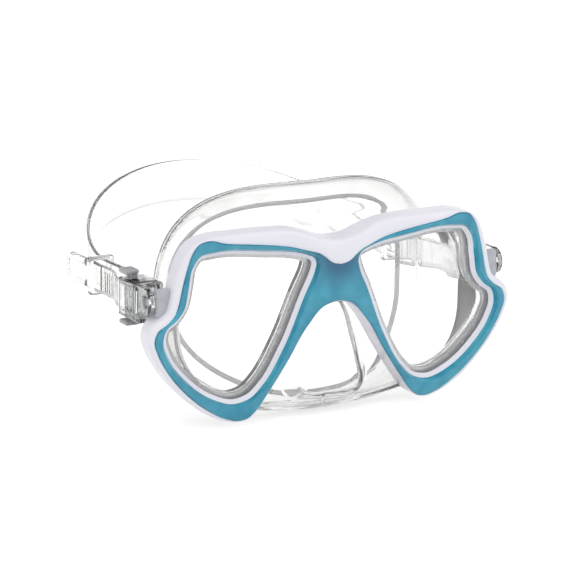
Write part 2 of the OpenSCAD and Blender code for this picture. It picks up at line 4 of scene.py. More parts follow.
import bpy
import numpy as np
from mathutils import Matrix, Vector


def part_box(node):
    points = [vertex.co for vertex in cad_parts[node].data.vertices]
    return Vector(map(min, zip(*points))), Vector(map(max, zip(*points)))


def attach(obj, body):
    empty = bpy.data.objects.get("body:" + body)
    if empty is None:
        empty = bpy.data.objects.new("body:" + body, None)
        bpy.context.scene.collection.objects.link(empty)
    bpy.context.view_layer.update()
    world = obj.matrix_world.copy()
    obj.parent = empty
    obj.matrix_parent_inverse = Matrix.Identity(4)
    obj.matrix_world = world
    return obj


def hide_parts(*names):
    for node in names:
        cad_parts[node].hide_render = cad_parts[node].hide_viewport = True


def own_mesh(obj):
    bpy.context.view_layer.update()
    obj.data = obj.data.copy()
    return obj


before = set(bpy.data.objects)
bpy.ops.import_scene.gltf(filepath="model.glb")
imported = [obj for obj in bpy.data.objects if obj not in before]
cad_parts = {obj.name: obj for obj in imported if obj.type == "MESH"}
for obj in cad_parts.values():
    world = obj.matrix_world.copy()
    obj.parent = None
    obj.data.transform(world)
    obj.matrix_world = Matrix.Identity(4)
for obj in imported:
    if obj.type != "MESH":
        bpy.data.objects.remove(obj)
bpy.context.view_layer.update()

# ---- Measures -------------------------------------------------------------------------
# Millimetres from the mask centre, which is the middle of the bridge on the retainer's face.
STRAP_REACH = 146
STRAP_T = 1.4
RIM_BOTTOM = 41
CENTRE = np.array([0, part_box("strap")[1].y * 1000 - STRAP_REACH - STRAP_T / 2,
                   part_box("skirt")[0].z * 1000 + RIM_BOTTOM])
# Each lens sweeps back by WRAP and leans forward by TILT. They blend within BRIDGE of the middle.
WRAP = math.radians(2.4)
TILT = math.radians(2.8)
BRIDGE = 9
SIDES = ((1, "left"), (-1, "right"))

# The gap between hard pieces that snap together, and the gap round the skirt.
GAP = 0.15
SOFT_GAP = 0.3
SKIRT_T = 1.4

# Depths behind the retainer's face, from the front to the back.
BEZEL = 3.6
GLASS_BACK = BEZEL + 3
FLANGE_BACK = GLASS_BACK + 1.5
FRAME_BACK = FLANGE_BACK + 1.5
PLATE_FRONT = FRAME_BACK + SOFT_GAP
PLATE_BACK = PLATE_FRONT + SKIRT_T

# Measured from the drawn opening: the slope down to the glass and the ledge past it run in,
# and the edge of the glass runs out.
SLOPE = 1.8
LEDGE_LAP = 0.8
GLASS_OVER = 0.2

# Half outlines as x and z. The opening is the whole outline of one lens.

OPENING = [(63.4, 27.5), (60.3, 31.4), (54, 32.6), (33, 31.4), (12.7, 27.8), (10.7, 26.9),
           (9.2, 25.3), (8.6, 23.1), (9, 20.9), (13.6, 10), (22.5, -11), (31, -24.8),
           (36.5, -29.8), (44, -31.7), (54, -28.6), (66, -19.5), (73.3, -9.8), (75.7, -1.5),
           (74.2, 3.3), (70, 6.6), (67, 10.6), (65.4, 18)]
RETAINER = [(0, 7.2), (6, 5.9), (13.4, -1.5), (22, -15.3), (30.6, -28), (35.3, -34.2),
            (38.6, -36.8), (42.3, -37.5), (48, -36), (56, -31.6), (65.4, -23.8), (72.8, -15),
            (77.6, -6.3), (79, -1.6), (77.7, 2.3), (73.5, 5.2), (70.6, 8.2), (69, 12.5),
            (67.8, 18), (65.5, 27), (63.3, 32.8), (60.6, 36), (56.8, 36.9), (50, 35.3),
            (36, 33.5), (22, 31.3), (12, 28.7), (0, 25.5)]
FRAME = [(0, 7.4), (5.8, 6.1), (13, -1.8), (21.6, -15.5), (30.3, -28.3), (35, -34.6),
         (38.4, -37.3), (42.3, -38), (49, -37), (57, -33.3), (66.7, -25.3), (74.6, -16),
         (79.9, -7), (81.5, -1), (80.2, 3.8), (76.6, 7), (73.4, 9.6), (72, 13.5), (70.3, 21),
         (68.2, 28), (65.6, 33), (61.8, 36.4), (56.5, 38), (44, 38.5), (30, 38.5), (20, 37.8),
         (12, 35.6), (6, 33.5), (0, 32.8)]
PLATE = [(0, -38.4), (16, -38.2), (32, -36.6), (44, -34.2), (55, -30.6), (66.6, -21.2),
         (73.8, -11), (75.9, -1.8), (74.6, 3.7), (70.2, 7.2), (67.5, 11.2), (66.2, 18),
         (64.6, 26), (61.8, 32), (55, 34.4), (40, 35), (20, 33.8), (0, 31.5)]
# Lower edge of the brow's V over the bridge.
V_EDGE = [(0, 22.8), (3.4, 23.6), (7.6, 26.8), (12.6, 29.6), (20, 31.4), (30, 34)]


# ---- Curves ---------------------------------------------------------------------------
def smooth01(t):
    t = np.clip(t, 0, 1)
    return t * t * (3 - 2 * t)


def along(a, b, t):
    return a + (b - a) * t


def flow(points, closed=True, steps=10, mirrored=True):
    """Smooth line through points. A half outline meets its mirror image at x = 0."""
    p = np.array(points, float)
    flip = np.ones(p.shape[1])
    flip[0] = -1
    if closed:
        q = np.vstack([p[-1:], p, p[:2]])
    elif mirrored:
        q = np.vstack([p[1:2] * flip, p, p[-2:-1] * flip])
    else:
        q = np.vstack([2 * p[:1] - p[1:2], p, 2 * p[-1:] - p[-2:-1]])

    def velocity(a, b, c):
        h0, h1 = np.linalg.norm(b - a) + 1e-9, np.linalg.norm(c - b) + 1e-9
        return ((b - a) / h0 * h1 + (c - b) / h1 * h0) / (h0 + h1)

    out = []
    for i in range(len(q) - 3):
        a, b, c, d = q[i:i + 4]
        h = np.linalg.norm(c - b)
        v0, v1 = velocity(a, b, c) * h, velocity(b, c, d) * h
        for k in range(steps):
            t = k / steps
            out.append((2 * t**3 - 3 * t**2 + 1) * b + (t**3 - 2 * t**2 + t) * v0
                       + (3 * t**2 - 2 * t**3) * c + (t**3 - t**2) * v1)
    if not closed:
        out.append(p[-1])
    return np.array(out)


def paced(line, marks, counts, closed=True):
    """Points along a line, counts[k] of them evenly from marks[k] to the next mark."""
    at = [int(np.argmin(np.linalg.norm(line - np.array(m), axis=1))) for m in marks]
    if closed:
        line = np.vstack([line[at[0]:], line[:at[0] + 1]])
        at = [(a - at[0]) % (len(line) - 1) for a in at] + [len(line) - 1]
    run = np.concatenate([[0], np.cumsum(np.linalg.norm(np.diff(line, axis=0), axis=1))])
    where = np.concatenate([np.linspace(run[a], run[b], n, endpoint=False)
                            for a, b, n in zip(at, at[1:], counts)])
    if not closed:
        where = np.append(where, run[at[-1]])
    return np.stack([np.interp(where, run, line[:, k]) for k in range(2)], axis=1)


def outward(line, closed=True):
    """Unit normals that point out of an anticlockwise outline."""
    if closed:
        t = np.roll(line, -1, axis=0) - np.roll(line, 1, axis=0)
    else:
        t = np.gradient(line, axis=0)
        t[0], t[-1] = (1, 0), (-1, 0)
    t = t / (np.linalg.norm(t, axis=1, keepdims=True) + 1e-12)
    return np.stack([t[:, 1], -t[:, 0]], axis=1)


def lean(flat, depth):
    """Places drawn x and z points at a depth behind the retainer's face. The lenses sweep back
    from the bridge and lean forward at the top, with no crease over the bridge."""
    flat = np.asarray(flat, float)
    x, z = flat[..., 0], flat[..., 1]
    a = np.abs(x)
    run = np.where(a < BRIDGE, (a * a + BRIDGE**2) / (2 * BRIDGE), a)
    x1 = a * math.cos(WRAP) - depth * math.sin(WRAP) * smooth01(a / BRIDGE)
    y1 = run * math.sin(WRAP) + depth * math.cos(WRAP)
    return np.stack([np.sign(x) * x1 if np.ndim(x) else x1, y1 * math.cos(TILT) - z * math.sin(TILT),
                     y1 * math.sin(TILT) + z * math.cos(TILT)], axis=-1)


# ---- Making meshes --------------------------------------------------------------------
def alone(piece=None):
    """Selects only this piece, or nothing."""
    bpy.ops.object.select_all(action="DESELECT")
    if piece:
        piece.select_set(True)
        bpy.context.view_layer.objects.active = piece


def put(piece, places):
    """Moves every vertex to its place, given in millimetres from the mask centre."""
    co = (np.asarray(places, float).reshape(-1, 3) + CENTRE) * 0.001
    piece.data.vertices.foreach_set("co", co.astype(np.float32).ravel())
    piece.data.update()


def edit(piece, *steps, faces=None):
    """Runs edit-mode steps on a piece, with all of it selected or the faces that faces names."""
    alone(piece)
    bpy.context.tool_settings.mesh_select_mode = (False, False, True)
    mesh = piece.data
    everything = faces is None
    for group in (mesh.vertices, mesh.edges, mesh.polygons):
        group.foreach_set("select", np.full(len(group), everything))
    if not everything:
        for face in mesh.polygons:
            face.select = bool(faces(face))
    bpy.ops.object.mode_set(mode="EDIT")
    for step in steps:
        step()
    bpy.ops.object.mode_set(mode="OBJECT")


def sheet_of(name, rows):
    """A grid whose points are moved to the rows."""
    alone()
    bpy.ops.mesh.primitive_grid_add(x_subdivisions=rows.shape[1] - 1,
                                    y_subdivisions=rows.shape[0] - 1)
    piece = bpy.context.object
    piece.name = name
    put(piece, rows)
    return piece


def ring_skin(name, rows):
    """A closed tube: rows of section points, one row for each station round the ring."""
    rows = np.asarray(rows)
    rows = np.concatenate([rows, rows[:1]])
    piece = sheet_of(name, np.concatenate([rows, rows[:, :1]], axis=1))
    edit(piece, lambda: bpy.ops.mesh.remove_doubles(threshold=1e-6),
         lambda: bpy.ops.mesh.normals_make_consistent(inside=False))
    return piece


def loft(name, rows):
    """A closed form through rows of section points, with a flat end at the first and the last."""
    rows = np.asarray(rows)
    piece = sheet_of(name, np.concatenate([rows, rows[:, :1]], axis=1))
    edit(piece, lambda: bpy.ops.mesh.remove_doubles(threshold=1e-6),
         lambda: bpy.ops.mesh.fill_holes(sides=0),
         lambda: bpy.ops.mesh.normals_make_consistent(inside=False))
    return piece


def both_halves(piece):
    """Joins the half at +X to its mirror image along the middle."""
    def middle(face):
        return all(abs(piece.data.vertices[v].co.x) < 1e-6 for v in face.vertices)
    edit(piece, lambda: bpy.ops.mesh.delete(type="FACE"), faces=middle)
    modify(piece, "MIRROR", use_mirror_merge=True, merge_threshold=2e-6)
    edit(piece, lambda: bpy.ops.mesh.remove_doubles(threshold=1e-6),
         lambda: bpy.ops.mesh.dissolve_degenerate(threshold=1e-7),
         lambda: bpy.ops.mesh.normals_make_consistent(inside=False))
    return piece


def modify(piece, kind, **settings):
    """Adds a modifier with its settings and applies it."""
    alone(piece)
    modifier = piece.modifiers.new(kind.lower(), kind)
    for name, value in settings.items():
        setattr(modifier, name, value)
    bpy.ops.object.modifier_apply(modifier=modifier.name)
    return piece


def join(piece, *others):
    alone(piece)
    for other in others:
        other.select_set(True)
    bpy.ops.object.join()
    return piece


def combine(piece, other, operation):
    modify(piece, "BOOLEAN", object=other, operation=operation, solver="EXACT")
    bpy.data.objects.remove(other)
    return piece


def fuse(piece, *others):
    for other in others:
        combine(piece, other, "UNION")
    return piece


def cut(piece, *others):
    for other in others:
        combine(piece, other, "DIFFERENCE")
    return piece


def smooth(piece, degrees=35):
    """Shades smooth, with a crisp edge where faces meet at more than so many degrees."""
    edit(piece, lambda: bpy.ops.mesh.remove_doubles(threshold=2e-7))
    alone(piece)
    bpy.ops.object.shade_smooth_by_angle(angle=math.radians(degrees))
    return piece


def block(name, low, high, round_off=0, segments=2):
    """A box between two corners, its edges rounded."""
    low, high = np.minimum(low, high), np.maximum(low, high)
    alone()
    bpy.ops.mesh.primitive_cube_add(size=1, location=(0, 0, 0))
    piece = bpy.context.object
    piece.name = name
    corners = np.array([v.co for v in piece.data.vertices]) + 0.5
    put(piece, low + corners * (high - low))
    if round_off:
        edit(piece, lambda: bpy.ops.mesh.bevel(offset=round_off * 0.001, segments=segments,
                                               affect="EDGES"))
    return piece


def drum(name, r, middle, axis, length, sides=40, round_off=0):
    """A cylinder about a middle point, along axis 0, 1 or 2, its rims rounded."""
    alone()
    bpy.ops.mesh.primitive_cylinder_add(vertices=sides, radius=1, depth=1)
    piece = bpy.context.object
    piece.name = name
    co = np.array([v.co for v in piece.data.vertices]) * (r, r, length)
    co = np.roll(co, (axis + 1) % 3, axis=1)
    put(piece, co + np.array(middle))
    edit(piece, lambda: bpy.ops.mesh.normals_make_consistent(inside=False))
    if round_off:
        edit(piece, lambda: bpy.ops.mesh.bevel(offset=round_off * 0.001, segments=2,
                                               affect="EDGES"),
             faces=lambda f: len(f.vertices) > 4)
    return piece


# ---- Finishes -------------------------------------------------------------------------
def colour(hex_value):
    """An sRGB hex value as linear light."""
    parts = [int(hex_value[i:i + 2], 16) / 255 for i in (1, 3, 5)]
    return [c / 12.92 if c <= 0.04045 else ((c + 0.055) / 1.055) ** 2.4 for c in parts] + [1]


def add(tree, kind, links=None, values=None, **settings):
    """Adds a node with its settings, its input values and the links into it."""
    node = tree.nodes.new(kind)
    for name, value in settings.items():
        setattr(node, name, value)
    for name, value in (values or {}).items():
        node.inputs[name].default_value = value
    for name, source in (links or {}).items():
        tree.links.new(source, node.inputs[name])
    return node


def moulded(name, size_mm, colours, gloss, grain=None, **values):
    """A finish whose colour and gloss drift a little over size_mm, as moulded stock does, with
    a fine grain of so many millimetres across and high. Other values go on the shader."""
    material = bpy.data.materials.new(name)
    material.use_nodes = True
    tree = material.node_tree
    shader = tree.nodes["Principled BSDF"]
    for key, value in values.items():
        shader.inputs[key.replace("_", " ")].default_value = value
    place = add(tree, "ShaderNodeTexCoord").outputs["Object"]
    drift = add(tree, "ShaderNodeTexNoise", {"Vector": place},
                {"Scale": 1000 / size_mm, "Detail": 2, "Roughness": 0.5}).outputs[0]
    middle = {"From Min": 0.3, "From Max": 0.7}
    share = add(tree, "ShaderNodeMapRange", {"Value": drift}, middle).outputs[0]
    colour_mix = add(tree, "ShaderNodeMix", {"Factor": share}, data_type="RGBA")
    colour_mix.inputs["A"].default_value, colour_mix.inputs["B"].default_value = map(colour, colours)
    tree.links.new(colour_mix.outputs["Result"], shader.inputs["Base Color"])
    rough = add(tree, "ShaderNodeMapRange", {"Value": drift},
                {**middle, "To Min": gloss[0], "To Max": gloss[1]})
    tree.links.new(rough.outputs[0], shader.inputs["Roughness"])
    if grain:
        spark = add(tree, "ShaderNodeTexNoise", {"Vector": place},
                    {"Scale": 1000 / grain[0], "Detail": 2, "Roughness": 0.5})
        relief = add(tree, "ShaderNodeBump", {"Height": spark.outputs[0]},
                     {"Distance": grain[1] / 1000, "Strength": 1.0})
        tree.links.new(relief.outputs["Normal"], shader.inputs["Normal"])
    return material


def clear_moulded(name, size_mm, colours, gloss, depth_tint, density, grain=None, **values):
    """A clear finish that takes on depth_tint with thickness."""
    material = moulded(name, size_mm, colours, gloss, grain, **values)
    tree = material.node_tree
    stock = add(tree, "ShaderNodeVolumeAbsorption", values={"Color": colour(depth_tint),
                                                           "Density": density})
    tree.links.new(stock.outputs[0], tree.nodes["Material Output"].inputs["Volume"])
    return material


def white_abs():
    # Injection-moulded ABS from a polished tool: a cool, faintly lavender white with a soft
    # broad gloss that changes slowly where the melt ran.
    return moulded("moulded_white_ABS", 16, ("#f3f2fc", "#f7f6fe"), (0.22, 0.3), IOR=1.54)


def lug_abs_painted_shade():
    # The same white moulding, its colour darkened to a cooler, greyer white: painted shade where the
    # lug is thin and shaded behind the cheek.
    return moulded("moulded_white_ABS_painted_shade", 5, ("#b0b2b9", "#bfc1c8"), (0.22, 0.32), IOR=1.54)


def aqua_polycarbonate():
    # Tinted translucent polycarbonate: light goes in, and the colour deepens with thickness.
    #     Its base colour is also darkened near the tip of the brow's V, a painted shade where the
    #     brow shadows the bridge.
    material = clear_moulded("tinted_polycarbonate", 8, ("#1cbadc", "#5adcf4"), (0.03, 0.07),
                             "#5fd4ea", 50, IOR=1.585, Transmission_Weight=0.55)
    tree = material.node_tree
    shader = tree.nodes["Principled BSDF"]
    place = add(tree, "ShaderNodeTexCoord").outputs["Object"]
    # Painted shade: the base colour goes to a dark #0a8cb8 within a few millimetres of the brow's V
    # tip.
    painted_shade_centre = tuple((CENTRE + (0, 1, V_EDGE[0][1] + 1.2)) * 0.001)
    distance_to_painted_shade = add(tree, "ShaderNodeVectorMath", {0: place}, {1: painted_shade_centre}, operation="DISTANCE")
    share = add(tree, "ShaderNodeMapRange", {"Value": distance_to_painted_shade.outputs["Value"]},
                {"From Min": 0.003, "From Max": 0.014}, interpolation_type="SMOOTHSTEP")
    colour_mix = add(tree, "ShaderNodeMix", {"Factor": share.outputs[0]}, data_type="RGBA")
    colour_mix.inputs["A"].default_value = colour("#0a8cb8")
    tree.links.new(shader.inputs["Base Color"].links[0].from_socket, colour_mix.inputs["B"])
    tree.links.new(colour_mix.outputs["Result"], shader.inputs["Base Color"])
    return material


def tempered_glass():
    # Float glass, ground at the edge: nearly nothing but its rim and its reflections.
    return moulded("tempered_glass", 25, ("#fdfefe", "#ffffff"), (0.0, 0.015), IOR=1.52,
                   Transmission_Weight=1.0)


def skirt_silicone():
    # Liquid-injected silicone: clear walls that turn grey where they are seen edge on.
    return clear_moulded("liquid_injected_silicone", 10, ("#fcfcfb", "#ffffff"), (0.04, 0.09),
                         "#c8c8c6", 26, IOR=1.41, Transmission_Weight=0.96)


def frosted_silicone():
    # The same silicone where the tool is matt, on the edges that seal: a soft pale grey.
    return clear_moulded("frosted_silicone", 6, ("#dededf", "#e8e8ea"), (0.25, 0.35),
                         "#c8c8c6", 26, IOR=1.41, Transmission_Weight=0.55)


def milky_silicone():
    # The flange under the glass, white where it is pressed flat.
    return clear_moulded("pressed_silicone", 6, ("#fafafd", "#ffffff"), (0.2, 0.3),
                         "#e8e8e6", 10, IOR=1.41, Transmission_Weight=0.5)


def strap_silicone():
    # The same silicone in a thicker band, a little milky.
    return clear_moulded("moulded_strap_silicone", 12, ("#fbfbfa", "#ffffff"), (0.05, 0.12),
                         "#cfcfcd", 22, IOR=1.41, Transmission_Weight=0.93)


def clear_polycarbonate():
    # Untinted polycarbonate, moulded: glassy, with dark and bright edges.
    return clear_moulded("clear_polycarbonate", 5, ("#f4f5f6", "#fcfdfd"), (0.02, 0.06),
                         "#c4c6c8", 60, IOR=1.585, Transmission_Weight=1.0)


def grey_abs():
    # Moulded grey ABS, a fine spark-eroded grain under the thumb.
    return moulded("moulded_grey_ABS", 4, ("#adaeb2", "#b8b9bd"), (0.32, 0.42), (0.35, 0.015),
                   IOR=1.54)


def spring_steel():
    # Cold-drawn stainless wire: bright, its gloss broken by fine draw marks.
    return moulded("drawn_spring_steel", 0.4, ("#a7a9ab", "#bfc1c3"), (0.2, 0.34), Metallic=1.0)


FINISHES = {"white_plastic": white_abs(), "aqua_plastic": aqua_polycarbonate(),
            "tempered_glass": tempered_glass(), "silicone": skirt_silicone(),
            "frosted_silicone": frosted_silicone(), "milky_silicone": milky_silicone(),
            "strap_silicone": strap_silicone(), "clear_plastic": clear_polycarbonate(),
            "grey_plastic": grey_abs(), "lug_white_painted_shade": lug_abs_painted_shade(), "spring_steel": spring_steel()}


def dress(piece, body, finish_name, *nodes, slot=None):
    """Gives a piece its finish, the body it rides on and the nodes that it stands for."""
    piece.data.materials.clear()
    piece.data.materials.append(FINISHES[finish_name])
    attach(piece, body)
    if nodes:
        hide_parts(*nodes)
    return piece


# ---- Outlines shared by the frame, the retainer, the glass and the skirt -----------------
# Marks that pair the opening with the outline round it, and the stations between them.
PAIRS = [((0, 7.2), (13.2, 11), 6), ((6, 5.9), (14.6, 8), 8), ((13.4, -1.5), (17.4, 1), 10),
         ((22, -15.3), (24.3, -13.9), 14), ((35.3, -34.2), (35.5, -29.2), 8),
         ((42.3, -37.5), (44, -31.7), 12), ((56, -31.6), (54, -28.6), 14),
         ((72.8, -15), (70.5, -14), 12), ((79, -1.6), (75.7, -1.5), 10),
         ((73.5, 5.2), (72.9, 4.4), 10), ((69, 12.5), (66.6, 12), 8),
         ((65.5, 27), (63.5, 27), 10), ((60.6, 36), (60.3, 31.4), 10),
         ((50, 35.3), (50, 32.5), 10), ((22, 31.3), (22, 29.6), 6),
         ((12, 28.7), (13, 27.9), 8), ((0, 25.5), (9.2, 25.3), 8), ((0, 16), (9.3, 20), 8)]
counts = [pair[2] for pair in PAIRS]
opening = paced(flow(OPENING), [pair[1] for pair in PAIRS], counts)
opening_out = outward(opening)


def closed_half(points):
    """A half outline closed along the middle line."""
    half = flow(points, closed=False)
    middle = np.stack([np.zeros(60), np.linspace(half[-1][1], half[0][1], 62)[1:-1]], axis=1)
    return np.vstack([half, middle])


def half_outline(points, marks):
    """Stations of a half outline that is closed along the middle line, their normals, and 1
    on the outline itself or 0 on the middle line."""
    at = paced(closed_half(points), marks, counts)
    out = outward(at)
    low, high = points[0][1], points[-1][1]
    ends = at[:, 0] < 1e-6
    inner = ends & (at[:, 1] > low + 1e-3) & (at[:, 1] < high - 1e-3)
    out[ends & (np.abs(at[:, 1] - low) < 1e-3)] = (0, -1)
    out[ends & (np.abs(at[:, 1] - high) < 1e-3)] = (0, 1)
    return at, out, np.where(inner, 0.0, 1.0)


# ---- Lens retainer --------------------------------------------------------------------
def bridge_swell(flat):
    """How far the bridge stands proud of the retainer's face between the V and the arch."""
    x, z = flat[:, 0], flat[:, 1]
    return 0.9 * np.clip(1 - (x / 14) ** 2, 0, 1) ** 2 * smooth01((21 - z) / 10)


# Where the aqua gives way to white, as a share of the way down the slope to the glass.
SEAM = 0.5
# Rounding of the retainer's edge at the opening.
LIP_R = 0.35


def lens_retainer():
    """Both bezels in one piece: a soft outer edge, a flat face and a slope down to the glass."""
    edge, out, live = half_outline(RETAINER, [pair[0] for pair in PAIRS])
    arch = np.clip(1 - edge[:, 0] / 18, 0, 1) * (edge[:, 1] < 12)
    soft = ((0.45 + 1.0 * arch) * live)[:, None]
    back = BEZEL - 1.9 * smooth01(1.2 * arch)
    columns = [lean(edge, back), lean(edge, soft[:, 0])]
    for a in np.radians((30, 60, 90)):
        flat = edge - out * soft * (1 - math.cos(a))
        columns.append(lean(flat, soft[:, 0] * (1 - math.sin(a)) - bridge_swell(flat) * math.sin(a)))
    start, end = edge - out * soft, opening + opening_out * LIP_R
    for t in np.arange(1, 8) / 8:
        flat = along(start, end, t)
        columns.append(lean(flat, -bridge_swell(flat)))
    for b in np.radians((0, 30, 60, 90)):
        flat = opening + opening_out * LIP_R * (1 - math.sin(b))
        columns.append(lean(flat, LIP_R * (1 - math.cos(b)) - bridge_swell(flat) * math.cos(b)))
    for t in (0.25, SEAM):
        columns.append(lean(opening - opening_out * SLOPE * t, along(LIP_R, BEZEL, t)))
    columns.append(lean(opening + opening_out * 0.3, along(LIP_R, BEZEL, SEAM)))
    columns.append(lean(opening + opening_out * 0.4, BEZEL))
    piece = ring_skin("retainer", np.stack(columns, axis=1))
    return smooth(both_halves(piece), 40)


dress(lens_retainer(), "mask", "aqua_plastic", "lens_retainer")


# ---- Main frame -----------------------------------------------------------------------
# Half width of the brow's V, how far it stands proud at its tip, and how far the rest of the
# rim lies behind the retainer's face.
BROW_HALF_W = 22
BROW_LIFT = 2.4
RIM_SETBACK = 0.6
# Marks that pair the outside of the rim with the retainer, and the stations between them.
RIM_MARKS = [((0, 7.4), (0, 7.2), 10), ((13, -1.8), (13.4, -1.5), 22),
             ((30.3, -28.3), (30.6, -28), 16), ((42.3, -38), (42.3, -37.5), 14),
             ((57, -33.3), (56, -31.6), 18), ((74.6, -16), (72.8, -15), 14),
             ((81.5, -1), (79, -1.6), 12), ((76.6, 7), (73.5, 5.2), 10),
             ((72, 13.5), (69, 12.5), 12), ((68.2, 28), (65.5, 27), 10),
             ((61.8, 36.4), (60.6, 36), 6), ((56.5, 38), (56, 36.9), 10),
             ((44, 38.5), (47, 34.9), 12), ((30, 38.5), (31, 32.8), 8),
             ((20, 37.8), (20, 31), 10), ((12, 35.6), (12, 28.7), 8),
             ((6, 33.5), (6, 27.1), 8), ((0, 32.8), (0, 25.5), 0)]


def frame_rim():
    """The white rim round the retainer, with the brow that comes down over the bridge."""
    outer_marks, inner_marks, steps = zip(*RIM_MARKS)
    outer = paced(flow(FRAME, closed=False), outer_marks, steps[:-1], closed=False)
    inner = paced(flow(RETAINER, closed=False), inner_marks, steps[:-1], closed=False)
    inner = inner + outward(inner, closed=False) * GAP
    edge = flow(V_EDGE, closed=False, mirrored=False)
    v_z = np.interp(inner[:, 0], edge[:, 0], edge[:, 1])
    brow = (inner[:, 1] > 20) & (inner[:, 0] < BROW_HALF_W)
    tip = inner.copy()
    tip[:, 1] = np.where(brow, np.minimum(inner[:, 1], v_z), inner[:, 1])
    lift = np.where(brow, BROW_LIFT * smooth01((BROW_HALF_W - inner[:, 0]) / 13), 0)
    front = RIM_SETBACK - lift
    width = np.linalg.norm(outer - tip, axis=1)
    into = (tip - outer) / width[:, None]
    soft = np.minimum(2.4, 0.55 * width)
    deep = np.minimum(2.6, 0.4 + 0.8 * width)
    lip = np.minimum(0.35 + 0.25 * lift, 0.3 * width)
    columns = [lean(outer, FRAME_BACK), lean(outer, 8.5), lean(outer, 6.5), lean(outer, 4.8)]
    for a in np.radians((0, 18, 36, 54, 72, 90)):
        flat = outer + into * (soft * (1 - math.cos(a)))[:, None]
        columns.append(lean(flat, front + deep * (1 - math.sin(a))))
    for t in (0.2, 0.4, 0.6, 0.8):
        reach = along(soft, width - lip, t)
        crown = 0.25 * np.sin(np.pi * t) * smooth01((width - 3) / 3)
        columns.append(lean(outer + into * reach[:, None], front - crown))
    for b in np.radians((0, 30, 60, 90)):
        flat = tip - into * (lip * (1 - math.sin(b)))[:, None]
        columns.append(lean(flat, front + lip * (1 - math.cos(b))))
    under = np.maximum(front + lip + 0.3, np.where(lift > 1.9, -0.1, -9))
    columns.append(lean(tip, under - 0.05))
    columns.append(lean(inner, under + 0.1))
    columns.append(lean(inner, 4.2))
    columns.append(lean(inner, 9))
    half = np.stack(columns, axis=1)
    other = half[-2:0:-1] * (-1, 1, 1)
    return ring_skin("frame_rim", np.concatenate([half, other]))


def frame_plate():
    """The floor of the retainer's pocket, with a seat and a ledge for each lens."""
    edge, out, live = half_outline(RETAINER, [pair[0] for pair in PAIRS])
    edge = edge + out * (0.5 * live)[:, None]
    edge[live == 0, 0] = 0
    floor = BEZEL + GAP
    seat = opening + opening_out * (GLASS_OVER + GAP)
    ledge = opening - opening_out * (SLOPE + LEDGE_LAP)
    columns = [lean(edge, FRAME_BACK - 0.2), lean(edge, floor), lean(along(edge, seat, 0.5), floor),
               lean(seat, floor), lean(seat, FLANGE_BACK + 0.05), lean(ledge, FLANGE_BACK + 0.05),
               lean(ledge, FRAME_BACK - 0.2)]
    return both_halves(ring_skin("frame_plate", np.stack(columns, axis=1)))


# The outside of the buckles, the two faces of a lug, and the pivot's y and z.
BUCKLE_OUT = 79.4
LUG_IN, LUG_OUT = 70.5, 77.0
PIVOT = (11.5, 13.3)


def lug(side):
    """The plate on the cheek that the buckle's pivot goes through."""
    root = block("lug", (LUG_IN * side, 6.3, 7), (LUG_OUT * side, 9.5, 19), 1.4, 4)
    eye = drum("lug_eye", 4.2, ((LUG_IN + LUG_OUT) / 2 * side, *PIVOT), 0, LUG_OUT - LUG_IN,
               round_off=0.5)
    arm = block("lug_arm", (LUG_IN * side, 8.2, 9.1), (LUG_OUT * side, 11.5, 17.5), 0.4)
    return fuse(root, arm, eye)


def lens_lip():
    """The white lip that shows between the aqua slope and the glass."""
    top = along(LIP_R, BEZEL, SEAM) + 0.04
    low = BEZEL - 0.03
    columns = [lean(opening + opening_out * 0.25, top), lean(opening + opening_out * 0.25, low)]
    for inset, depth in ((2.35, low), (2.5, low - 0.12), (2.46, low - 0.3), (2.3, low - 0.4),
                         (1.6, along(top, low, 0.45)), (SLOPE * SEAM, top)):
        columns.append(lean(opening - opening_out * inset, depth))
    return both_halves(ring_skin("lens_lip", np.stack(columns, axis=1)))


def main_frame():
    """Everything white in one piece, apart from the lugs."""
    piece = join(frame_rim(), frame_plate(), lens_lip())
    piece.name = "white_frame"
    return smooth(piece, 40)


dress(main_frame(), "mask", "white_plastic", "main_frame")
for side, name in SIDES:
    piece = smooth(lug(side), 35)
    piece.name = "buckle_lug_" + name
    dress(piece, "mask", "lug_white_painted_shade", slot="white_plastic")


# ---- Glass ----------------------------------------------------------------------------
def lens(side):
    """Flat glass with a fine ground chamfer, in the seat behind the retainer."""
    ground = 0.35
    rows = []
    for inset, depth in ((ground, BEZEL + 0.02), (0, BEZEL + ground), (0, GLASS_BACK - ground),
                         (ground, GLASS_BACK - 0.02)):
        rows.append(lean(opening + opening_out * (GLASS_OVER - inset), depth))
    return smooth(loft("glass", np.array(rows) * (side, 1, 1)), 20)


for side, name in SIDES:
    piece = lens(side)
    piece.name = "glass_" + name
    dress(piece, "mask", "tempered_glass", "lens_" + name)


# ---- Skirt ----------------------------------------------------------------------------
RIM_HALF_W = 60.5
RIM_TOP = 51.5
RIM_BACK = 46
LIP_W = 9
LIP_LOW_W = 6.3
# The wall where it leaves the plate: half width, top and bottom.
SHOULDER = (64.4, 33.8, 36.4)
# How far back the rim is at the top, the sides and the bottom, and how square and how swept its
# upper and lower halves are.
RIM_BACKS = (RIM_BACK - 18, RIM_BACK, RIM_BACK - 25)
RIM_POWERS = ((3.1, 1.8), (2.1, 3.2))
plate_half = flow(PLATE, closed=False, steps=8)
plate_angles = np.arctan2(plate_half[:, 1], plate_half[:, 0])


def whole(half):
    """A half loop, with its mirror image after it."""
    half[0, 0] = half[-1, 0] = 0
    return np.concatenate([half, half[-2:0:-1] * (-1, 1, 1)])


def plate_loop(depth, inset):
    """The plate's outline at a depth, drawn in by the inset."""
    size = np.linalg.norm(plate_half, axis=1, keepdims=True)
    return whole(lean(plate_half * (1 - inset / size), depth))


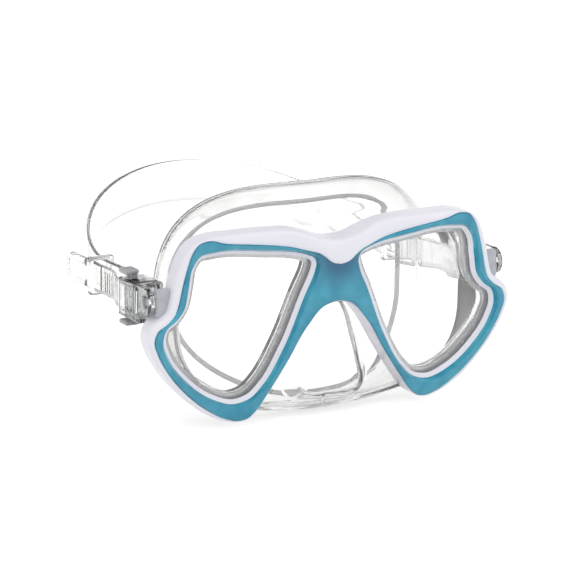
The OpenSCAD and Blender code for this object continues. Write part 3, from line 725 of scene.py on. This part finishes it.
def body_loop(size, back, powers, inward, further):
    """A rounded loop behind the plate: half width, top and bottom, and how far back each is."""
    c, s = np.abs(np.cos(plate_angles)), np.abs(np.sin(plate_angles))
    up = plate_angles > 0
    square = np.where(up, powers[0][0], powers[1][0])
    sweep = np.where(up, powers[0][1], powers[1][1])
    tall = np.where(up, size[1], size[2]) - inward
    r = ((c / (size[0] - inward)) ** square + (s / tall) ** square) ** (-1 / square)
    y = along(np.where(up, back[0], back[2]), back[1], c**sweep) + further
    return whole(np.stack([r * np.cos(plate_angles), y, r * np.sin(plate_angles)], axis=1))


def skirt_wall():
    """The wall from the front plate to the rim, with the lip that folds in from the rim."""
    wide, top, bottom = SHOULDER
    shoulder = ((wide, along(top, RIM_TOP, 0.3), along(bottom, RIM_BOTTOM, 0.55)),
                (PLATE_BACK + 0.6, PLATE_BACK + 4.4, PLATE_BACK + 3), ((3.2, 3), (2.6, 3)))
    fold = ((along(wide, RIM_HALF_W, 0.6), along(top, RIM_TOP, 0.6), along(bottom, RIM_BOTTOM, 0.8)),
            (along(PLATE_BACK, RIM_BACK, 0.14), along(PLATE_BACK, RIM_BACK, 0.62),
             along(PLATE_BACK, RIM_BACK, 0.2)), ((3.2, 4.5), (2.3, 3)))
    rim = ((RIM_HALF_W, RIM_TOP, RIM_BOTTOM), RIM_BACKS, RIM_POWERS)
    loops = [plate_loop(PLATE_FRONT + 0.4, 3), plate_loop(PLATE_BACK + 1, 3),
             body_loop(*shoulder, SKIRT_T, 1.2), body_loop(*fold, SKIRT_T, 0.3),
             body_loop(*rim, 1.5, -2.2)]
    loops += [skirt_lip(-0.6, -1.1), skirt_lip(0.2, -0.95), skirt_lip(0.4, -0.65),
              skirt_lip(0.2, -0.35), skirt_lip(-0.6, -0.2)]
    loops += [body_loop(*rim, 1.4, 0), body_loop(*rim, 0.3, -0.5),
             body_loop(*rim, 0, -1.6), body_loop(*fold, 0, 0), body_loop(*shoulder, 0, 0),
             plate_loop(PLATE_BACK + 0.1, 2.2), plate_loop(PLATE_FRONT + 0.4, 0.9)]
    rows = [flow(station, closed=True, steps=4) for station in np.stack(loops, axis=1)]
    return ring_skin("skirt_wall", rows)


NOSE_OUTLINE = [(0, -33.3), (9, -33.2), (13, -32.2), (15.1, -29), (13.9, -20), (11.2, -8),
                (8.3, 2), (6.6, 5), (3.2, 6.4), (0, 6.6)]
NOSE_TOP = 6
NOSE_TALL = 39
NOSE_R = 1.3


def nose_pocket(inner):
    """The pocket for the nose, or the hollow in it: a flat panel that stands furthest forward
    at the nostrils, with broad sloping sides that meet the plate."""
    t = SKIRT_T if inner else 0
    half = flow(NOSE_OUTLINE, closed=False, steps=8)
    out = outward(half, closed=False)

    def downward(z):
        return np.clip((NOSE_TOP - z) / NOSE_TALL, 0, 1)

    def panel_depth(z):
        return along(7.6, 3.4, downward(z)) + t

    back = PLATE_BACK + 1 if inner else PLATE_FRONT + 0.6
    # The sides flare more towards the nostrils, then less where they turn under.
    under = smooth01((-29 - half[:, 1]) / 3)
    flare = along(along(3.4, 5.8, downward(half[:, 1])), 4.2, under)
    rows = []
    for part in (0, 0.3, 0.6, 0.82):
        flat = half + out * (flare * (1 - part) ** 1.2 - t)[:, None]
        rows.append((flat, along(back, panel_depth(half[:, 1]) + NOSE_R, part)))
    for a in np.radians((0, 30, 60, 90)):
        flat = half + out * (-t - NOSE_R * (1 - math.cos(a)))
        rows.append((flat, panel_depth(half[:, 1]) + NOSE_R * (1 - math.sin(a))))
    middle = np.array([0, -16.0])
    last = rows[-1][0]
    for scale in (0.8, 0.5, 0.2):
        flat = middle + (last - middle) * scale
        rows.append((flat, panel_depth(flat[:, 1]) - 0.6 * (1 - scale**2)))
    loops = []
    for flat, depth in rows:
        flat[:, 0] = np.maximum(flat[:, 0], 0)
        loops.append(whole(lean(flat, depth)))
    return loft("nose_pocket", loops)


PLATE_PAIRS = [(0, 7), (0, 0), (0, -10), (0, -24), (16, -38.2), (44, -34.2), (55, -30.6),
               (71.5, -14.5), (75.9, -1.8), (73.2, 5), (67.3, 12), (64.4, 26.5), (61.8, 32),
               (50, 34.8), (22, 34), (8, 32.5), (0, 29), (0, 17)]


def skirt_plate():
    """The plate behind the frame, with the neck that comes forward through it to the flange."""
    edge, out, live = half_outline(PLATE, PLATE_PAIRS)
    edge[live == 0, 0] = 0
    neck = opening - opening_out * (SLOPE + LEDGE_LAP + SOFT_GAP)
    bore = opening - opening_out * (SLOPE + LEDGE_LAP + SOFT_GAP + SKIRT_T)
    columns = [lean(bore, FLANGE_BACK), lean(neck, FLANGE_BACK), lean(neck, PLATE_FRONT),
               lean(edge, PLATE_FRONT), lean(edge, PLATE_BACK), lean(bore, PLATE_BACK)]
    return both_halves(ring_skin("skirt_plate", np.stack(columns, axis=1)))


def lens_flange():
    """The matt flange on the front of the skirt that the glass presses on."""
    glass_edge = opening + opening_out * 0.1
    bore = opening - opening_out * (SLOPE + LEDGE_LAP + SOFT_GAP + SKIRT_T)
    columns = [lean(bore, GLASS_BACK), lean(glass_edge, GLASS_BACK),
               lean(glass_edge, FLANGE_BACK - 0.06), lean(bore, FLANGE_BACK - 0.06)]
    return smooth(both_halves(ring_skin("skirt_flange", np.stack(columns, axis=1))), 40)


def rounded_edge(name, path, r):
    """A round edge that runs along a closed path about the y axis."""
    turn = np.roll(path, -1, axis=0) - np.roll(path, 1, axis=0)
    out = np.stack([-turn[:, 2], np.zeros(len(path)), turn[:, 0]], axis=1)
    out /= np.linalg.norm(out, axis=1, keepdims=True) + 1e-9
    rows = [path + r * (math.cos(a) * out + math.sin(a) * np.array([0, 1, 0]))
            for a in np.radians(np.arange(0, 360, 30))]
    return smooth(ring_skin(name, np.stack(rows, axis=1)), 60)


def skirt_lip(inward, further):
    """A loop at the inner edge of the lip that folds in from the skirt's rim."""
    size = (RIM_HALF_W - LIP_W, RIM_TOP - LIP_W, RIM_BOTTOM - LIP_LOW_W)
    return body_loop(size, RIM_BACKS, RIM_POWERS, inward, further)


def skirt():
    """Wall, plate and nose pocket fused into one moulding, then hollowed for the nose."""
    piece = skirt_wall()
    fuse(piece, skirt_plate(), nose_pocket(False))
    cut(piece, nose_pocket(True))
    piece.name = "clear_skirt"
    return smooth(piece, 40)


dress(skirt(), "mask", "silicone", "skirt")
dress(lens_flange(), "mask", "milky_silicone", slot="silicone")
dress(rounded_edge("skirt_lip_edge", skirt_lip(0, -0.65), 1.05), "mask", "frosted_silicone",
      slot="silicone")


# ---- Strap ----------------------------------------------------------------------------
STRAP_W = 12.4
STRAP_BACK_W = 18
STRAP_Z = 9.5
STRAP_BACK_Z = 29
STRAP_EDGE_R = 0.45
BUCKLE_Z = 10.9
ROLLER = (73.6, 26.0)
TURN_R = 3.6
KEEPER_Y = 77
RUN_X = 64.6
TAIL_X = 70.6
TAIL_END = KEEPER_Y + 25
# Where the run at the side turns into the curve behind the head, and where the tail leaves the
# buckle.
TURN_Y = 81
TAIL_START = 38
RIDGE_PITCH = 2.0


def strap_line():
    """Stations of the wearer's left half: x, y, middle height, width and place in the tail."""
    rows = []
    for a in np.radians(np.arange(0, 90.01, 2.5)):
        rows.append((RUN_X * math.sin(a), TURN_Y + (STRAP_REACH - TURN_Y) * math.cos(a),
                     along(STRAP_Z, STRAP_BACK_Z, math.cos(a) ** 1.3 if a < 1.57 else 0),
                     along(STRAP_W, STRAP_BACK_W, math.cos(a)), 0))
    for t in np.linspace(0, 1, 17):
        s = smooth01(t)
        rows.append((along(RUN_X, ROLLER[0] - TURN_R, s), along(60, TAIL_START, t),
                     along(STRAP_Z, BUCKLE_Z, s), STRAP_W, 0))
    for a in np.radians(np.arange(180, 361, 10)):
        rows.append((ROLLER[0] + TURN_R * math.cos(a), ROLLER[1] + TURN_R * math.sin(a), BUCKLE_Z,
                     STRAP_W, 0))
    for y in np.arange(TAIL_START, TAIL_END - STRAP_W / 2, 0.4):
        s = smooth01((y - TAIL_START) / 22)
        rows.append((along(ROLLER[0] + TURN_R, TAIL_X, s), y, along(BUCKLE_Z, STRAP_Z, s),
                     STRAP_W, 1))
    for a in np.radians(np.arange(0, 88, 7)):
        rows.append((TAIL_X, TAIL_END - STRAP_W / 2 * (1 - math.sin(a)), STRAP_Z,
                     STRAP_W * math.cos(a), 1))
    return np.array(rows)


def strap():
    """The whole band with both tails: ridges for the catch, and a raised rim past the keeper."""
    half = strap_line()
    line = np.concatenate([half[:0:-1] * (-1, 1, 1, 1, 1), half])
    run = np.gradient(line[:, :2], axis=0)
    run /= np.linalg.norm(run, axis=1, keepdims=True)
    # From the wearer's right tail to the left one, the hoop's outside is on the left.
    out = np.stack([run[:, 1], -run[:, 0]], axis=1)
    section = [(v * face, face) for face in (1, -1) for v in np.linspace(-1, 1, 15)]
    rows = []
    for station, o in zip(line, out):
        x, y, z, w, tail = station
        row = []
        for v, face in section:
            flat = max(w / 2 - STRAP_EDGE_R, 0.02)
            across = v * w / 2
            edge = max(0, (abs(across) - flat) / STRAP_EDGE_R)
            thick = STRAP_T / 2 * math.sqrt(max(0, 1 - min(edge, 1) ** 2))
            if tail and face > 0:
                to_end = TAIL_END - y
                rim = min(w / 2 - abs(across), to_end)
                if y > KEEPER_Y + 6:
                    thick += 0.8 * math.sin(math.pi * min(max(rim / 3.2, 0), 1)) * (thick > 0.3)
                elif 40 < y < 70:
                    ridge = 0.5 - 0.5 * math.cos(2 * math.pi * (y - 40) / RIDGE_PITCH)
                    thick += 0.4 * ridge * float(smooth01((flat - 0.6 - abs(across)) / 0.6))
            row.append((x + o[0] * thick * face, y + o[1] * thick * face, z + across))
        rows.append(row)
    return smooth(loft("hoop_strap", rows), 60)


dress(strap(), "strap_hoop", "strap_silicone", "strap", slot="silicone")


# ---- Buckles --------------------------------------------------------------------------
BUCKLE_HALF_H = 7.9
LOW, HIGH = BUCKLE_Z - BUCKLE_HALF_H, BUCKLE_Z + BUCKLE_HALF_H
BUCKLE_IN = 68
BUCKLE_FRONT = 18
PIN_R = 1.6
BUTTON_TRAVEL = 1.3
# Where the button legs and their springs stand.
LEG_X = 74.5
SPRING_Y = 33.5


def buckle_body(side):
    """A clear box that the strap turns back in, with an ear on the pivot pin."""
    body = block("buckle", (BUCKLE_IN * side, BUCKLE_FRONT, LOW), (BUCKLE_OUT * side, 36.5, HIGH),
                 1.1, 3)
    ear = drum("ear", 5.5, ((BUCKLE_OUT - 1.05) * side, *PIVOT), 0, 2.1, 48, 0.5)
    neck = block("ear_neck", ((BUCKLE_OUT - 2.1) * side, PIVOT[0], 7.9),
                 (BUCKLE_OUT * side, 19.5, 18.7), 0.5)
    fuse(body, ear, neck)
    cut(body, block("cavity", ((BUCKLE_IN + 1) * side, 21.4, BUCKLE_Z - 6.5),
                    (78.2 * side, 40, BUCKLE_Z + 6.5)))
    # The inner front corner is cut back below, to clear the skirt as the strap swings down.
    cut(body, block("swing_relief", ((BUCKLE_IN - 1) * side, BUCKLE_FRONT - 1, LOW - 1),
                    (72.6 * side, BUCKLE_FRONT + 1.5, LOW + 5.5)))
    cut(body, block("window", (77 * side, 23.4, BUCKLE_Z - 4.6), (81 * side, 33.4, BUCKLE_Z + 4.6),
                    0.6))
    cut(body, block("leg_slot", ((LEG_X - 1.3) * side, 30.9, LOW - 2),
                    ((LEG_X + 1.3) * side, 35.5, HIGH + 2)))
    ribs = [block("rib", (77.6 * side, y, BUCKLE_Z - 6),
                  ((BUCKLE_OUT - 0.2) * side, y + 1.1, BUCKLE_Z + 6), 0.3) for y in (25.6, 29.4)]
    web = block("web", ((LEG_X - 1.6) * side, 31.4, BUCKLE_Z - 0.5),
                ((LEG_X + 1.6) * side, 36, BUCKLE_Z + 0.5))
    pillar = block("pillar", ((LEG_X - 1.2) * side, 35.5, LOW + 0.3),
                   ((LEG_X + 1.2) * side, 36.9, HIGH - 0.3), 0.3)
    ribs += [block("outer_rib", ((BUCKLE_OUT - 0.3) * side, y, LOW + 0.9),
                   ((BUCKLE_OUT + 0.45) * side, y + 0.9, HIGH - 0.9), 0.3)
             for y in (18.9, 21.3, 34.4)]
    fuse(body, *ribs, web, pillar)
    cut(body, drum("bore", PIN_R + 0.05, ((BUCKLE_OUT - 1) * side, *PIVOT), 0, 6))
    return smooth(body, 35)


def button(side, up):
    """A grey cap outside the buckle, ribbed for the thumb, on a leg that goes inside."""
    z = BUCKLE_Z + up * (BUCKLE_HALF_H + BUTTON_TRAVEL + 0.1)
    cap = block("cap", (72.9 * side, 29.8, z), (79.1 * side, 36.6, z + up * 2), 0.8, 3)
    for i in range(3):
        y = 31.5 + i * 1.7
        fuse(cap, block("grip", (73.9 * side, y - 0.35, z + up * 1.6),
                        (78.1 * side, y + 0.35, z + up * 2.25), 0.2))
    leg = block("leg", ((LEG_X - 1.2) * side, 31, BUCKLE_Z + up * 4.75),
                ((LEG_X + 1.2) * side, 35.4, z + up * 0.8))
    foot = block("foot", ((LEG_X - 1.6) * side, 31, BUCKLE_Z + up * 4.75),
                 ((LEG_X + 1.6) * side, 35.4, BUCKLE_Z + up * 6.35), 0.2)
    return smooth(fuse(cap, leg, foot), 35)


def spring(side, up):
    """The coil of wire that lifts a button off the web inside the buckle."""
    wire, coil, turns = 0.18, 1.2, 4
    rows = []
    for a in np.radians(np.arange(0, 360 * turns + 1, 15)):
        z = along(0.73, 4.52, a / (2 * math.pi * turns))
        ring = [(coil + wire * math.cos(b), wire * math.sin(b))
                for b in np.radians(range(0, 360, 45))]
        rows.append([(LEG_X * side + r * math.cos(a), SPRING_Y + r * math.sin(a),
                      BUCKLE_Z + up * (z + lift)) for r, lift in ring])
    return smooth(loft("spring", rows), 50)


def pin(side):
    """The clear pin that the buckle turns on, with a domed head."""
    shank = drum("pin", PIN_R, (76.5 * side, *PIVOT), 0, 6.0)
    head = drum("head", 2.7, ((BUCKLE_OUT + 0.5) * side, *PIVOT), 0, 0.9, 40, 0.35)
    return smooth(fuse(shank, head), 35)


def roller(side):
    """A waisted roller on two journals."""
    heights = (-7.7, -6.3, -6.3, -5.9, -2, 0, 2, 5.9, 6.3, 6.3, 7.7)
    radii = (1.2, 1.2, 2.4, 2.6, 2.5, 2.45, 2.5, 2.6, 2.4, 1.2, 1.2)
    turn = np.radians(np.arange(0, 360, 12))
    rows = [np.stack([ROLLER[0] * side + r * np.cos(turn), ROLLER[1] + r * np.sin(turn),
                      np.full(len(turn), BUCKLE_Z + h)], axis=1) for h, r in zip(heights, radii)]
    return smooth(loft("roller", rows), 35)


def keeper(side):
    """A moulded loop that holds the tail to the strap."""
    outer = block("keeper", (62.2 * side, KEEPER_Y - 2, STRAP_Z - 7.9),
                  (73 * side, KEEPER_Y + 2, STRAP_Z + 7.9), 0.8, 3)
    hole = block("keeper_hole", (63.5 * side, KEEPER_Y - 7, STRAP_Z - 6.6),
                 (71.7 * side, KEEPER_Y + 7, STRAP_Z + 6.6), 0.5)
    return smooth(cut(outer, hole), 35)


for side, name in SIDES:
    for piece, kind, body, finish_name in (
            (buckle_body(side), "buckle_body_", "strap_hoop", "clear_plastic"),
            (pin(side), "pivot_pin_", "mask", "clear_plastic"),
            (roller(side), "strap_roller_", "strap_roller_" + name, "clear_plastic"),
            (keeper(side), "strap_keeper_", "strap_keeper_" + name, "clear_plastic"),
            (button(side, 1), "upper_button_", "upper_button_" + name, "grey_plastic"),
            (button(side, -1), "lower_button_", "lower_button_" + name, "grey_plastic")):
        piece.name = "dressed_" + kind + name
        dress(piece, body, finish_name, kind + name)
    for up, place in ((1, "upper_"), (-1, "lower_")):
        piece = spring(side, up)
        piece.name = "dressed_" + place + "spring_" + name
        dress(piece, "strap_hoop", "spring_steel", place + "spring_" + name)
        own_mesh(piece)


# ---- Floor, light and camera ----------------------------------------------------------
# Brightness of the sky as light, of the darker walls, and of the floor's own glow, with 1 as
# white, then the way that the camera looks towards the backdrop.
DAYLIGHT = 0.8
WALLS = 0.42
FLOOR_GLOW = 0.52
BACKDROP_WAY = (0.457, 0.86, -0.23)
LENS_MM = 232.7
CAMERA_PLACE = (-0.69, -1.32655, 0.3958)
CAMERA_TURN = (76.56, 0, -28)
# Name, place in metres, width in metres and watts.
LAMPS = (("key", (-0.5, -0.9, 1.3), 0.9, 2.4), ("fill", (0.9, -0.8, 0.7), 0.9, 1.2))


def eye_ray(tree, path):
    """1 for a ray from the camera, a mirror or a clear piece, and 0 for the light itself."""
    seen = add(tree, "ShaderNodeMath", {0: path.outputs["Is Camera Ray"],
                                        1: path.outputs["Is Glossy Ray"]}, operation="ADD")
    return add(tree, "ShaderNodeMath", {0: seen.outputs[0],
                                        1: path.outputs["Is Transmission Ray"]},
               operation="ADD", use_clamp=True).outputs[0]


def floor():
    """White paper that glows enough to reach the backdrop's white, and keeps a soft shadow."""
    alone()
    bpy.ops.mesh.primitive_plane_add(size=8, location=(0, 0, 0))
    piece = bpy.context.object
    piece.name = "floor"
    material = bpy.data.materials.new("floor_paper")
    material.use_nodes = True
    tree = material.node_tree
    tree.nodes.clear()
    paper = add(tree, "ShaderNodeBsdfDiffuse", values={"Color": colour("#f2f2f2")})
    path = add(tree, "ShaderNodeLightPath")
    level = add(tree, "ShaderNodeMath", {0: eye_ray(tree, path)}, {1: FLOOR_GLOW},
                operation="MULTIPLY")
    glow = add(tree, "ShaderNodeEmission", {"Strength": level.outputs[0]}, {"Color": (1, 1, 1, 1)})
    both = add(tree, "ShaderNodeAddShader", {0: paper.outputs[0], 1: glow.outputs[0]})
    add(tree, "ShaderNodeOutputMaterial", {"Surface": both.outputs[0]})
    piece.data.materials.append(material)


def studio():
    """A bright backdrop with darker walls beside it, which draw the edges of the clear pieces."""
    world = bpy.data.worlds.new("studio")
    bpy.context.scene.world = world
    world.use_nodes = True
    tree = world.node_tree
    sky = tree.nodes["Background"]
    sky.inputs["Color"].default_value = (1, 1, 1, 1)
    path = add(tree, "ShaderNodeLightPath")
    place = add(tree, "ShaderNodeTexCoord").outputs["Generated"]
    toward = add(tree, "ShaderNodeVectorMath", {0: place}, {1: BACKDROP_WAY},
                 operation="DOT_PRODUCT").outputs["Value"]
    backdrop = add(tree, "ShaderNodeMapRange", {"Value": toward},
                   {"From Min": 0.72, "From Max": 0.93}, interpolation_type="SMOOTHSTEP")
    front = add(tree, "ShaderNodeMapRange", {"Value": toward},
                {"From Min": 0.15, "From Max": -0.2}, interpolation_type="SMOOTHSTEP")
    lit = add(tree, "ShaderNodeMath", {0: backdrop.outputs[0], 1: front.outputs[0]},
              operation="MAXIMUM")
    walls = add(tree, "ShaderNodeMapRange", {"Value": lit.outputs[0]},
                {"To Min": WALLS, "To Max": 1.0})
    plain = add(tree, "ShaderNodeMix", {"Factor": path.outputs["Is Camera Ray"],
                                        "A": walls.outputs[0]}, {"B": 1.0})
    level = add(tree, "ShaderNodeMix", {"Factor": eye_ray(tree, path),
                                        "B": plain.outputs[0]}, {"A": DAYLIGHT})
    tree.links.new(level.outputs[0], sky.inputs["Strength"])
    for name, place, size, power in LAMPS:
        lamp = bpy.data.lights.new(name, "AREA")
        lamp.energy, lamp.size = power, size
        holder = bpy.data.objects.new(name, lamp)
        bpy.context.scene.collection.objects.link(holder)
        holder.location = place
        aim = Vector((0, -0.05, 0.05)) - Vector(place)
        holder.rotation_euler = aim.to_track_quat("-Z", "Y").to_euler()


def camera():
    """A long lens in front of the mask, towards -X and a little above it."""
    eye = bpy.data.cameras.new("camera")
    eye.lens = LENS_MM
    eye.sensor_width = 36
    eye.clip_start = 0.05
    holder = bpy.data.objects.new("camera", eye)
    bpy.context.scene.collection.objects.link(holder)
    holder.location = CAMERA_PLACE
    holder.rotation_euler = [math.radians(turn) for turn in CAMERA_TURN]
    bpy.context.scene.camera = holder


floor()
studio()
camera()
scene = bpy.context.scene
scene.view_settings.view_transform = "Standard"
scene.cycles.max_bounces = 24
scene.cycles.transmission_bounces = 24
scene.cycles.transparent_max_bounces = 16
scene.cycles.use_denoising = True
